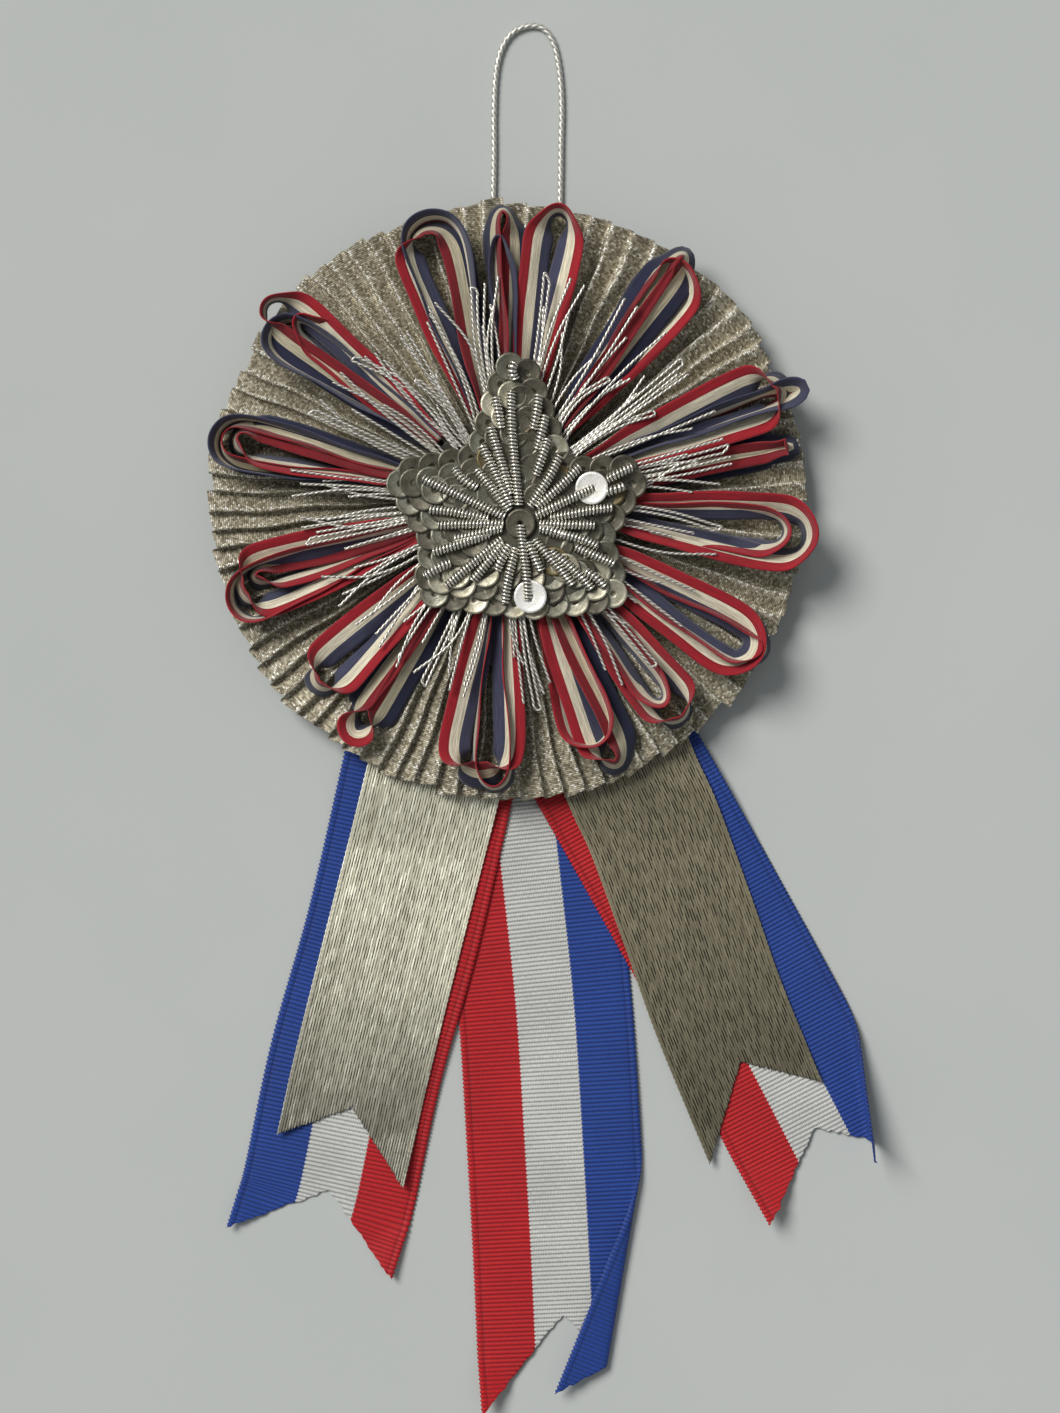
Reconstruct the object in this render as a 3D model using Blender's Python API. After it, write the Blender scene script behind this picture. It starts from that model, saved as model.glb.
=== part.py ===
"""Tricolour award rosette (cockade) with ribbon tails, built from its separate pieces.

The rosette lies face up. The origin is the middle of its back, on the surface it lies on. +Z points out of
the face, +Y points to the hanging cord and -Y points down the tails. All lengths below are in millimetres.
"""

import math

import bmesh
import bpy
from mathutils import Vector

MM = 0.001

# Driving dimensions of the rosette, from the back to the front
GAP = 0.3
BACK_COVER_RADIUS = 24.0
BACK_COVER_THICKNESS = 0.6
RIBBON_THICKNESS = 0.25
CARD_RADIUS = 30.0
CARD_THICKNESS = 0.8
PLEAT_COUNT = 90
PLEAT_OUTER_RADIUS = 42.6
PLEAT_INNER_RADIUS = 10.0
PLEAT_DEPTH = 2.1
PLEAT_INNER_DEPTH = 0.8
PLEAT_THICKNESS = 0.5
PLEAT_SCALLOP = 0.35
CORE_RADIUS = 12.0
PETAL_HEIGHT = 2.4
PETAL_ROOT_RADIUS = 12.7
PETAL_THICKNESS = 0.35
PETAL_NARROWING = 0.82
SPRAY_THICKNESS = 0.4
BASE_THICKNESS = 0.5
PAD_THICKNESS = 1.0
PAD_SCALE = 0.55
BULLION_THICKNESS = 0.9
SEQUIN_RADIUS = 2.05
BRIGHT_SEQUIN_RADIUS = 2.35
SEQUIN_THICKNESS = 0.3

# The ribbon tails
TRICOLOUR_WIDTH = 25.0
SILVER_WIDTH = 19.5
HINGE_Y = -44.0

# The hanging cord
CORD_DIAMETER = 0.8
CORD_Z = 0.45
LOOP_HINGE_Y = 44.2

# Heights of each layer's underside
LEVEL = {}
LEVEL["tail_1"] = 0.0
LEVEL["tail_2"] = LEVEL["tail_1"] + RIBBON_THICKNESS + GAP
LEVEL["tail_3"] = LEVEL["tail_2"] + RIBBON_THICKNESS + GAP
LEVEL["tail_4"] = LEVEL["tail_3"] + RIBBON_THICKNESS + GAP
LEVEL["card"] = LEVEL["tail_4"] + RIBBON_THICKNESS + GAP
LEVEL["pleats"] = LEVEL["card"] + CARD_THICKNESS + GAP
LEVEL["petals"] = LEVEL["pleats"] + PLEAT_THICKNESS + PLEAT_DEPTH + GAP
LEVEL["sprays"] = LEVEL["petals"] + PETAL_HEIGHT + GAP
LEVEL["base"] = LEVEL["sprays"] + SPRAY_THICKNESS + GAP
LEVEL["pad"] = LEVEL["base"] + BASE_THICKNESS + GAP
LEVEL["bullion"] = LEVEL["pad"] + PAD_THICKNESS + GAP
LEVEL["loose_sequins"] = LEVEL["bullion"] + BULLION_THICKNESS + GAP

# Petal loops, anticlockwise from +X: direction in degrees, tip radius, width
PETALS = [
    (12.0, 43.0, 4.0),
    (22.2, 44.0, 8.0),
    (53.7, 43.8, 8.6),
    (79.8, 42.0, 6.5),
    (90.0, 41.8, 5.7),
    (106.5, 42.1, 9.5),
    (140.8, 44.2, 8.0),
    (167.7, 42.6, 8.6),
    (198.4, 41.8, 8.6),
    (224.0, 38.6, 7.2),
    (236.6, 40.8, 6.0),
    (264.0, 41.5, 9.3),
    (292.4, 41.5, 7.0),
    (308.6, 40.8, 7.2),
    (328.0, 42.7, 8.6),
    (353.0, 43.6, 9.6),
]

# Sprays of thread: one every 30 degrees, each a fan of strands (direction from its middle, tip radius)
SPRAY_COUNT = 12
SPRAY_FIRST = 6.0
SPRAY_STRANDS = [(-9.0, 28.0), (-4.5, 30.0), (0.0, 29.0), (4.5, 30.5), (9.0, 28.0)]

# The star badge: middle, arm tips and the hollows between them
STAR_CENTRE = (1.8, -3.6)
STAR_CORNERS = [
    ((0.9, 26.4), 3.0),
    ((-5.2, 6.9), 1.5),
    ((-18.0, 4.4), 2.8),
    ((-11.8, -6.3), 1.5),
    ((-13.0, -14.6), 3.4),
    ((3.0, -16.4), 6.0),
    ((17.6, -15.2), 3.2),
    ((14.3, -5.7), 1.5),
    ((21.4, 5.6), 2.8),
    ((8.6, 5.3), 1.5),
]
SEQUIN_COUNT = 35
SEQUIN_INSET = 0.88
ARMS = ["top", "left", "lower_left", "lower_right", "right"]

# Bullion purls of each arm: direction in degrees and outer radius about the star's middle
BULLION = {
    "top": [(60, 10.9), (72, 12.6), (82, 18.2), (94, 18.6), (107, 14.2), (118, 12.3)],
    "left": [(131, 9.7), (143, 12.0), (155, 15.0), (168, 12.9), (180, 11.4)],
    "lower_left": [(192, 9.4), (204, 12.8), (217, 13.7), (230, 10.3), (244, 7.2), (259, 11.4)],
    "lower_right": [(277, 9.8), (294, 7.1), (307, 11.2), (319, 13.5), (332, 12.5), (345, 11.3)],
    "right": [(358, 10.3), (10, 13.1), (23, 16.4), (35, 11.4), (47, 11.6)],
}

# Tails: centre line from the sewn head to halfway down the cut, width, notch depth, extra reach of the right tip
# (the left tip is as much shorter), layer
TAILS = {
    "centre_tail": (
        [(0.5, -27), (1.8, -40), (3.2, -52.4), (5.3, -72), (6.6, -92), (7.5, -108), (8.2, -123.6)],
        TRICOLOUR_WIDTH, 14.0, 0.0, "tail_1",
    ),
    "left_tail": (
        [(-8.6, -27), (-11.4, -39.2), (-16.5, -61.3), (-21.8, -80.2), (-25.6, -98), (-27.1, -103.2)],
        TRICOLOUR_WIDTH, 9.5, 0.0, "tail_2",
    ),
    "right_tail": (
        [(9.5, -27), (14, -35), (20.2, -46), (26.1, -56.5), (33.3, -69.5), (39.2, -80.5), (46.2, -94.1)],
        TRICOLOUR_WIDTH, 9.7, 0.0, "tail_3",
    ),
    "left_silver_tail": (
        [(-7.9, -28), (-10.7, -40.1), (-16.1, -61.3), (-20.9, -80.5), (-23.2, -90.6)],
        SILVER_WIDTH, 7.9, 1.8, "tail_4",
    ),
    "right_silver_tail": (
        [(13.8, -30), (17.9, -40), (21.1, -47.1), (26.2, -61.1), (30.2, -72.4), (35.2, -84.6)],
        SILVER_WIDTH, 9.5, -2.4, "tail_4",
    ),
}

# Route of the hanging cord: its two sewn ends and the free loop
CORD_LEFT_END = [(-2.6, 25, 1.3), (-2.4, 30, 1.1), (-2.2, 36, 0.7), (-2.1, 40, 0.5), (-2.1, 44.0, CORD_Z)]
CORD_RIGHT_END = [(6.6, 25, 1.3), (7.0, 30, 1.1), (7.3, 36, 0.7), (7.4, 40, 0.5), (7.5, 44.0, CORD_Z)]
CORD_LOOP = [
    (-2.1, 44.4), (-2.0, 50), (-2.0, 56), (-1.7, 61.8), (-0.8, 65.4), (0.8, 67.6), (3.2, 68.5),
    (5.2, 68.0), (6.6, 65.8), (7.4, 61.8), (7.7, 56.8), (7.6, 51.7), (7.5, 44.4),
]


def clear_scene():
    for thing in list(bpy.data.objects):
        bpy.data.objects.remove(thing, do_unlink=True)


def material(name, colour, roughness, metallic=0.0):
    """A plain Principled material, shared by the pieces of one stuff."""
    found = bpy.data.materials.get(name)
    if found:
        return found
    made = bpy.data.materials.new(name)
    made.use_nodes = True
    shader = made.node_tree.nodes["Principled BSDF"]
    shader.inputs["Base Color"].default_value = (*colour, 1.0)
    shader.inputs["Roughness"].default_value = roughness
    shader.inputs["Metallic"].default_value = metallic
    made.diffuse_color = (*colour, 1.0)
    return made


def felt():
    return material("felt", (0.055, 0.06, 0.09), 0.95)


def card():
    return material("card", (0.72, 0.66, 0.52), 0.85)


def silver_gauze():
    return material("silver_gauze", (0.42, 0.39, 0.33), 0.45, 0.6)


def petal_ribbon():
    return material("petal_ribbon", (0.40, 0.03, 0.06), 0.7)


def silver_thread():
    return material("silver_thread", (0.72, 0.69, 0.62), 0.35, 0.9)


def dark_sequin():
    return material("dark_sequin", (0.28, 0.27, 0.22), 0.4, 0.8)


def bright_sequin():
    return material("bright_sequin", (0.9, 0.89, 0.86), 0.25, 0.7)


def bullion():
    return material("bullion", (0.62, 0.59, 0.52), 0.3, 1.0)


def tricolour_ribbon():
    return material("tricolour_ribbon", (0.55, 0.12, 0.14), 0.75)


def silver_ribbon():
    return material("silver_ribbon", (0.34, 0.33, 0.29), 0.4, 0.7)


def put_object(name, mesh, stuff, origin=(0, 0, 0)):
    mesh.materials.append(stuff)
    thing = bpy.data.objects.new(name, mesh)
    thing.location = Vector(origin) * MM
    bpy.context.scene.collection.objects.link(thing)
    return thing


def mesh_object(name, points, faces, stuff, origin=(0, 0, 0)):
    """An object from points in millimetres, with its origin where its joint is."""
    start = Vector(origin)
    mesh = bpy.data.meshes.new(name)
    mesh.from_pydata([(Vector(p) - start) * MM for p in points], [], faces)
    mesh.update()
    return put_object(name, mesh, stuff, origin)


def slab(name, outline, low, high, stuff, origin=(0, 0, 0)):
    """A flat piece cut to an anticlockwise outline, between two heights."""
    count = len(outline)
    points = [(x, y, low) for x, y in outline]
    points += [(x, y, high) for x, y in outline]
    faces = [tuple(reversed(range(count))), tuple(range(count, 2 * count))]
    for i in range(count):
        j = (i + 1) % count
        faces.append((i, j, count + j, count + i))
    return mesh_object(name, points, faces, stuff, origin)


def circle(centre, radius, sides, turn=0.0):
    points = []
    for i in range(sides):
        angle = turn + 2 * math.pi * i / sides
        points.append((centre[0] + radius * math.cos(angle), centre[1] + radius * math.sin(angle)))
    return points


def polar(radius, degrees, centre=(0.0, 0.0)):
    angle = math.radians(degrees)
    return centre[0] + radius * math.cos(angle), centre[1] + radius * math.sin(angle)


def smooth_curve(points, per_span=8):
    """Points along a Catmull-Rom curve through the given ones."""
    knots = [Vector(p) for p in points]
    knots = [2 * knots[0] - knots[1]] + knots + [2 * knots[-1] - knots[-2]]
    curve = []
    for a, b, c, d in zip(knots, knots[1:], knots[2:], knots[3:]):
        for step in range(per_span):
            t = step / per_span
            curve.append(
                0.5 * ((2 * b) + (c - a) * t + (2 * a - 5 * b + 4 * c - d) * t * t
                       + (3 * b - a - 3 * c + d) * t ** 3)
            )
    curve.append(knots[-2])
    return curve


def even_points(curve, spacing):
    """The same curve with its points a steady distance apart."""
    lengths = [0.0]
    for a, b in zip(curve, curve[1:]):
        lengths.append(lengths[-1] + (b - a).length)
    count = max(2, round(lengths[-1] / spacing))
    points = []
    k = 0
    for i in range(count + 1):
        want = lengths[-1] * i / count
        while k < len(curve) - 2 and lengths[k + 1] < want:
            k += 1
        share = (want - lengths[k]) / (lengths[k + 1] - lengths[k])
        points.append(curve[k].lerp(curve[k + 1], share))
    return points


def tube(name, route, stuff, origin):
    """A cord: a bevelled curve with filled caps along its route."""
    start = Vector(origin)
    curve = bpy.data.curves.new(name, "CURVE")
    curve.dimensions = "3D"
    curve.bevel_depth = CORD_DIAMETER / 2 * MM
    curve.bevel_resolution = 2
    curve.use_fill_caps = True
    points = even_points(smooth_curve(route), CORD_DIAMETER * 2.2)
    spline = curve.splines.new("POLY")
    spline.points.add(len(points) - 1)
    for slot, point in zip(spline.points, points):
        slot.co = (*((point - start) * MM), 1.0)
    curve.materials.append(stuff)
    thing = bpy.data.objects.new(name, curve)
    thing.location = start * MM
    bpy.context.scene.collection.objects.link(thing)
    return thing


def back_parts():
    """The felt cover on the back and the stiff card that everything is sewn to."""
    slab("back_cover", circle((0, 0), BACK_COVER_RADIUS, 48), 0.0, BACK_COVER_THICKNESS, felt())
    low = LEVEL["card"]
    slab("backing_disc", circle((0, 0), CARD_RADIUS, 48), low, low + CARD_THICKNESS, card())


def pleated_rosette():
    """Accordion pleats that fan out round the middle, as one folded band of gauze."""
    radii = [PLEAT_INNER_RADIUS, (PLEAT_INNER_RADIUS + PLEAT_OUTER_RADIUS) / 2, PLEAT_OUTER_RADIUS]
    rings = len(radii)
    steps = 2 * PLEAT_COUNT
    low = []
    for k in range(steps):
        crest = k % 2
        for i, radius in enumerate(radii):
            share = i / (rings - 1)
            depth = PLEAT_INNER_DEPTH + (PLEAT_DEPTH - PLEAT_INNER_DEPTH) * share
            reach = radius + (PLEAT_SCALLOP * (1 if crest else -1) if i == rings - 1 else 0.0)
            x, y = polar(reach, 360.0 * k / steps)
            low.append((x, y, LEVEL["pleats"] + (depth if crest else 0.0)))
    high = [(x, y, z + PLEAT_THICKNESS) for x, y, z in low]
    total = len(low)
    faces = []
    for k in range(steps):
        after = (k + 1) % steps
        here = [k * rings + i for i in range(rings)]
        there = [after * rings + i for i in range(rings)]
        for i in range(rings - 1):
            faces.append((total + here[i], total + here[i + 1], total + there[i + 1], total + there[i]))
            faces.append((here[i], there[i], there[i + 1], here[i + 1]))
        faces.append((here[0], total + here[0], total + there[0], there[0]))
        faces.append((here[-1], there[-1], total + there[-1], total + here[-1]))
    mesh_object("pleated_rosette", low + high, faces, silver_gauze())


def petal_loop(name, direction, tip_radius, width):
    """A strip of ribbon on edge, bent into a drop-shaped loop with its open end at the middle."""
    stations = 21
    first = 0.7
    sharpness = 1.6
    drop_peak = 0.69
    length = tip_radius - PETAL_ROOT_RADIUS
    half = width * PETAL_NARROWING / 2 / drop_peak
    path = []
    for i in range(stations + 1):
        turn = first + (2 * math.pi - 2 * first) * i / stations
        along = PETAL_ROOT_RADIUS + length * (1 - math.cos(turn)) / 2
        across = half * math.sin(turn) * math.sin(turn / 2) ** sharpness
        path.append(Vector((along, across)))
    angle = math.radians(direction)
    out = Vector((math.cos(angle), math.sin(angle)))
    side = Vector((-out.y, out.x))
    points = []
    low, high = LEVEL["petals"], LEVEL["petals"] + PETAL_HEIGHT
    for i, here in enumerate(path):
        run = path[min(i + 1, stations)] - path[max(i - 1, 0)]
        normal = Vector((-run.y, run.x)).normalized() * PETAL_THICKNESS / 2
        for edge, height in ((1, low), (1, high), (-1, high), (-1, low)):
            spot = here + normal * edge
            flat = out * spot.x + side * spot.y
            points.append((flat.x, flat.y, height))
    faces = [(0, 1, 2, 3)]
    for i in range(stations):
        for j in range(4):
            k = (j + 1) % 4
            faces.append((4 * i + j, 4 * i + 4 + j, 4 * i + 4 + k, 4 * i + k))
    last = 4 * stations
    faces.append((last + 3, last + 2, last + 1, last))
    return mesh_object(name, points, faces, petal_ribbon())


def petals():
    """The core disc and the ring of petal loops sewn round it."""
    low = LEVEL["petals"]
    slab("petal_core_disc", circle((0, 0), CORE_RADIUS, 32), low, low + PETAL_HEIGHT, felt())
    for number, (direction, tip_radius, width) in enumerate(PETALS, 1):
        petal_loop(f"petal_loop_{number:02d}", direction, tip_radius, width)


def comb(centre, inner, outer, teeth, width):
    """Outline of a fan of straight strands joined at a short arc."""
    outline = []
    for direction, reach in teeth:
        for radius, side in ((outer, -1), (reach, -1), (reach, 1), (outer, 1)):
            x, y = polar(radius, direction, centre)
            dx, dy = polar(width / 2 * side, direction + 90)
            outline.append((x + dx, y + dy))
    first, last = teeth[0][0], teeth[-1][0]
    if last < first:
        last += 360
    arc_steps = 4
    for i in range(arc_steps + 1):
        outline.append(polar(inner, last + (first - last) * i / arc_steps, centre))
    return outline


def thread_sprays():
    """Sprays of thread that lie on the petals and run in under the star."""
    low = LEVEL["sprays"]
    for number in range(SPRAY_COUNT):
        middle = SPRAY_FIRST + 360 / SPRAY_COUNT * number
        teeth = [(middle + turn, reach) for turn, reach in SPRAY_STRANDS]
        outline = comb((0, 0), 11.0, 13.0, teeth, 0.5)
        slab(f"thread_spray_{number + 1:02d}", outline, low, low + SPRAY_THICKNESS, silver_thread())


def star_outline(scale=1.0):
    """The star with each corner rounded to its own radius, scaled about its middle."""
    steps = 4
    outline = []
    corners = [(Vector(point), radius) for point, radius in STAR_CORNERS]
    for i, (corner, radius) in enumerate(corners):
        before = (corners[i - 1][0] - corner).normalized()
        after = (corners[(i + 1) % len(corners)][0] - corner).normalized()
        half_angle = before.angle(after) / 2
        reach = radius / math.tan(half_angle)
        middle = corner + (before + after).normalized() * (radius / math.sin(half_angle))
        start = (corner + before * reach - middle).normalized()
        end = (corner + after * reach - middle).normalized()
        for step in range(steps + 1):
            outline.append(middle + start.slerp(end, step / steps) * radius)
    centre = Vector(STAR_CENTRE)
    return [tuple(centre + (point - centre) * scale) for point in outline]


def arm_sequins(arm, spots):
    """One arm's overlapping sequins, joined into one solid."""
    low = LEVEL["pad"] + 0.05
    discs = []
    for i, spot in enumerate(spots):
        lift = low + 0.1 * (i % 3)
        name = f"star_sequins_{arm}" if i == 0 else f"cutter_{arm}_{i}"
        outline = circle(spot, SEQUIN_RADIUS, 12, 0.17 * i)
        discs.append(slab(name, outline, lift, lift + SEQUIN_THICKNESS, dark_sequin()))
    for cutter in discs[1:]:
        union = discs[0].modifiers.new("join", "BOOLEAN")
        union.operation = "UNION"
        union.solver = "EXACT"
        union.object = cutter
        cutter.hide_render = True
        cutter.display_type = "WIRE"


def star():
    """The star badge: card, pad, sequins round the border and bullion purls over the middle."""
    slab("star_base", star_outline(), LEVEL["base"], LEVEL["base"] + BASE_THICKNESS, card())
    slab("star_pad", star_outline(PAD_SCALE), LEVEL["pad"], LEVEL["pad"] + PAD_THICKNESS, felt())
    border = [Vector(point) for point in star_outline(SEQUIN_INSET)]
    border.append(border[0])
    perimeter = sum((b - a).length for a, b in zip(border, border[1:]))
    spots = even_points(border, perimeter / SEQUIN_COUNT)[:SEQUIN_COUNT]
    per_arm = SEQUIN_COUNT // len(ARMS)
    first = {arm: index * per_arm for index, arm in enumerate(ARMS)}
    for arm in ARMS:
        chosen = [spots[(first[arm] + k - 3) % SEQUIN_COUNT] for k in range(per_arm - 1)]
        arm_sequins(arm, [tuple(spot) for spot in chosen])
    low = LEVEL["bullion"]
    for arm in ARMS:
        outline = comb(STAR_CENTRE, 3.4, 4.4, BULLION[arm], 0.7)
        slab(f"bullion_rays_{arm}", outline, low, low + BULLION_THICKNESS, bullion())
    low = LEVEL["loose_sequins"]
    high = low + SEQUIN_THICKNESS
    slab("centre_sequin", circle(STAR_CENTRE, SEQUIN_RADIUS, 20), low, high, dark_sequin())
    slab("bright_sequin_right", circle((11.8, 1.4), BRIGHT_SEQUIN_RADIUS, 20), low, high, bright_sequin())
    slab("bright_sequin_lower", circle((3.2, -13.8), BRIGHT_SEQUIN_RADIUS, 20), low, high, bright_sequin())


def ribbon_edges(centre_line, width):
    """Left and right edges of a ribbon along its centre line."""
    line = even_points(smooth_curve(centre_line), 6.0)
    left, right = [], []
    for i, here in enumerate(line):
        run = line[min(i + 1, len(line) - 1)] - line[max(i - 1, 0)]
        across = Vector((-run.y, run.x)).normalized() * width / 2
        left.append(here - across)
        right.append(here + across)
    return line, left, right


def cut_edge(edge, level, keep_below):
    """The part of an edge below (or above) a level, with a point exactly on it."""
    kept = []
    for a, b in zip(edge, edge[1:]):
        if (a.y < level) == keep_below:
            kept.append(a)
        if (a.y < level) != (b.y < level):
            kept.append(a.lerp(b, (level - a.y) / (b.y - a.y)))
    if (edge[-1].y < level) == keep_below:
        kept.append(edge[-1])
    return kept


def tail(name, centre_line, width, notch, skew, level):
    """A ribbon tail: its sewn head under the rosette and, past the fold, its free length with a V-cut end."""
    stuff = silver_ribbon() if "silver" in name else tricolour_ribbon()
    line, left, right = ribbon_edges(centre_line, width)
    low = LEVEL[level]
    high = low + RIBBON_THICKNESS
    head = cut_edge(left, HINGE_Y + GAP / 2, False) + cut_edge(right, HINGE_Y + GAP / 2, False)[::-1]
    slab(f"{name}_head", [tuple(p) for p in head], low, high, stuff)
    run = (line[-1] - line[-2]).normalized()
    half_notch = notch / 2
    apex = line[-1] - run * half_notch
    left_free = cut_edge(left, HINGE_Y - GAP / 2, True)
    right_free = cut_edge(right, HINGE_Y - GAP / 2, True)
    left_tip = left_free[-1] + run * (half_notch - skew)
    right_tip = right_free[-1] + run * (half_notch + skew)
    free = left_free[:-1] + [left_tip, apex, right_tip] + right_free[:-1][::-1]
    hinge_x = min(line, key=lambda point: abs(point.y - HINGE_Y)).x
    slab(name, [tuple(p) for p in free], low, high, stuff, (hinge_x, HINGE_Y, (low + high) / 2))


def ribbon_tails():
    for name, (centre_line, width, notch, skew, level) in TAILS.items():
        tail(name, centre_line, width, notch, skew, level)


def hanging_cord():
    """The cord's two sewn ends and its free loop, which turns up about the rim."""
    tube("cord_end_left", CORD_LEFT_END, silver_thread(), (0, 0, 0))
    tube("cord_end_right", CORD_RIGHT_END, silver_thread(), (0, 0, 0))
    loop = [(x, y, CORD_Z) for x, y in CORD_LOOP]
    tube("hanging_loop", loop, silver_thread(), (2.7, LOOP_HINGE_Y, CORD_Z))


def face_out():
    """Turns every flat-made piece's faces outwards."""
    for thing in bpy.data.objects:
        if thing.type != "MESH":
            continue
        form = bmesh.new()
        form.from_mesh(thing.data)
        bmesh.ops.recalc_face_normals(form, faces=form.faces)
        form.to_mesh(thing.data)
        form.free()


def main():
    clear_scene()
    back_parts()
    pleated_rosette()
    petals()
    thread_sprays()
    star()
    ribbon_tails()
    hanging_cord()
    face_out()


main()
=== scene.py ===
"""Looks for the tricolour award rosette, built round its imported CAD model.

The rosette lies face up on a pale floor. +Z points out of its face and -Y down the ribbon tails. Lengths
are in millimetres in the model's own frame, and become metres where a mesh is made.
"""

import math

import bpy
import numpy as np
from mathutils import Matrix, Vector


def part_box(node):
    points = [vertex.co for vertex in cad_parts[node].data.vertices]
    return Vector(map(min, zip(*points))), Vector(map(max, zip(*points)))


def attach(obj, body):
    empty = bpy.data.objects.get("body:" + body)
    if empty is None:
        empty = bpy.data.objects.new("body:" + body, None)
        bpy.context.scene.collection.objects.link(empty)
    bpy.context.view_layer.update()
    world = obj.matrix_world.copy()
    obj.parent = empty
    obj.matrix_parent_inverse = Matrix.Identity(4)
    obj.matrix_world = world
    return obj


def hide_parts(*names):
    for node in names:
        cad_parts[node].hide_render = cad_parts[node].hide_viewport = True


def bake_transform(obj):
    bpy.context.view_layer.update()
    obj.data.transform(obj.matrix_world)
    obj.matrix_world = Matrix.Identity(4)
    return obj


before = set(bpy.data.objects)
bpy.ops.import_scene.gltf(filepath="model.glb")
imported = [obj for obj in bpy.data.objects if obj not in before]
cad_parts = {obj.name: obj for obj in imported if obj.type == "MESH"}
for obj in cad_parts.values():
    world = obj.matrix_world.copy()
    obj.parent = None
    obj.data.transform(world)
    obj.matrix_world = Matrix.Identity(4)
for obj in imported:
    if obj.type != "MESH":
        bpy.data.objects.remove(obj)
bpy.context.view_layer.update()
MM = 0.001
FULL_TURN = 2 * math.pi
RANDOM = np.random.default_rng(7)


def layer(node):
    """Lowest and highest z of a CAD node, in millimetres."""
    low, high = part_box(node)
    return low.z / MM, high.z / MM


PLEAT_LOW, PLEAT_HIGH = layer("pleated_rosette")
SPRAY_LOW = layer("thread_spray_01")[0]
PAD_LOW, PAD_HIGH = layer("star_pad")


# ---- Shapes in numbers


def unit(vectors):
    """Each vector of an array at length 1."""
    return vectors / np.maximum(np.linalg.norm(vectors, axis=-1, keepdims=True), 1e-9)


def ease(x):
    """0 below 0, 1 above 1, and smooth between."""
    x = np.clip(x, 0, 1)
    return x * x * (3 - 2 * x)


def polar(radius, degrees, aside=0.0):
    """A plan position from its radius and direction, then moved `aside` to the left of that direction."""
    x, y = math.cos(math.radians(degrees)), math.sin(math.radians(degrees))
    return radius * x - aside * y, radius * y + aside * x


def places(x, y, z):
    """Points from their three coordinates, which may be arrays or single numbers."""
    return np.stack(np.broadcast_arrays(x, y, z), axis=-1)


def circle(count):
    """Angles evenly round a circle."""
    return np.linspace(0, FULL_TURN, count, endpoint=False)


def travel(points):
    """Distance along a line of points, at each point."""
    return np.concatenate([[0], np.cumsum(np.linalg.norm(np.diff(points, axis=0), axis=1))])


def read_off(line, along, at):
    """Values kept at distances `along` a line, at other distances `at`."""
    return np.stack([np.interp(at, along, line[:, k]) for k in range(line.shape[1])], axis=1)


def curve_through(points, step):
    """Points about `step` apart on a smooth curve through the given ones."""
    p = np.array(points, float)
    p = np.vstack([2 * p[0] - p[1], p, 2 * p[-1] - p[-2]])
    t = np.linspace(0, 1, 24, endpoint=False)[:, None]
    runs = []
    for a, b, c, d in zip(p, p[1:], p[2:], p[3:]):
        bend = (2 * a - 5 * b + 4 * c - d) * t**2 + (3 * b - a - 3 * c + d) * t**3
        runs.append(b + 0.5 * ((c - a) * t + bend))
    fine = np.vstack(runs + [p[-2][None]])
    along = travel(fine)
    return read_off(fine, along, np.linspace(0, along[-1], max(3, int(round(along[-1] / step)) + 1)))


def quads(index):
    """Four-cornered faces of a grid of point numbers."""
    corners = (index[:-1, :-1], index[1:, :-1], index[1:, 1:], index[:-1, 1:])
    return np.stack([c.ravel() for c in corners], axis=1)


def grid_faces(rows, cols, wrap=False):
    """Faces of a grid of points; `wrap` joins the last column to the first."""
    index = np.arange(rows * cols).reshape(rows, cols)
    return quads(np.hstack([index, index[:, :1]]) if wrap else index)


def close_sheet(top, bottom, faces):
    """One closed thin sheet from two layers with the same faces.

    Returns its points, its faces, the top face that each face belongs to, and 0, 1 or 2 for top, bottom
    and rim.
    """
    top = top.reshape(-1, 3)
    bottom = bottom.reshape(-1, 3)
    count = len(top)
    a, b, c = (top[faces[:, k]] for k in range(3))
    lift = (top - bottom)[faces[:, 0]]
    if (np.cross(b - a, c - b) * lift).sum() < 0:
        faces = faces[:, ::-1]
    starts = faces.ravel()
    ends = np.roll(faces, -1, axis=1).ravel()
    owner = np.repeat(np.arange(len(faces)), 4)
    real = starts != ends
    starts, ends, owner = starts[real], ends[real], owner[real]
    edge = ~np.isin(starts * count + ends, ends * count + starts)
    s, e = starts[edge], ends[edge]
    rim = np.stack([e, s, s + count, e + count], axis=1)
    every = np.vstack([faces, faces[:, ::-1] + count, rim])
    source = np.concatenate([np.arange(len(faces)), np.arange(len(faces)), owner[edge]])
    side = np.repeat([0, 1, 2], [len(faces), len(faces), len(rim)])
    return np.vstack([top, bottom]), every, source, side


def ring_sheet(top, bottom):
    """Points and faces of a closed sheet whose rows run right round."""
    return close_sheet(top, bottom, grid_faces(*top.shape[:2], wrap=True))[:2]


def add_mesh(name, points, faces, materials, finish=None, cloth=None, smooth=True):
    """A mesh object. `finish` is each face's material, `cloth` each point's place in its own cloth."""
    mesh = bpy.data.meshes.new(name)
    mesh.from_pydata((points * MM).tolist(), [], [list(dict.fromkeys(f)) for f in faces.tolist()])
    for material in materials:
        mesh.materials.append(material)
    if finish is not None:
        mesh.polygons.foreach_set("material_index", np.asarray(finish, np.int32))
    if cloth is not None:
        place = mesh.attributes.new("cloth", "FLOAT_VECTOR", "POINT")
        place.data.foreach_set("vector", np.asarray(cloth, np.float32).ravel())
    mesh.polygons.foreach_set("use_smooth", np.full(len(mesh.polygons), smooth))
    mesh.update()
    piece = bpy.data.objects.new(name, mesh)
    bpy.context.scene.collection.objects.link(piece)
    return piece


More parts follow.
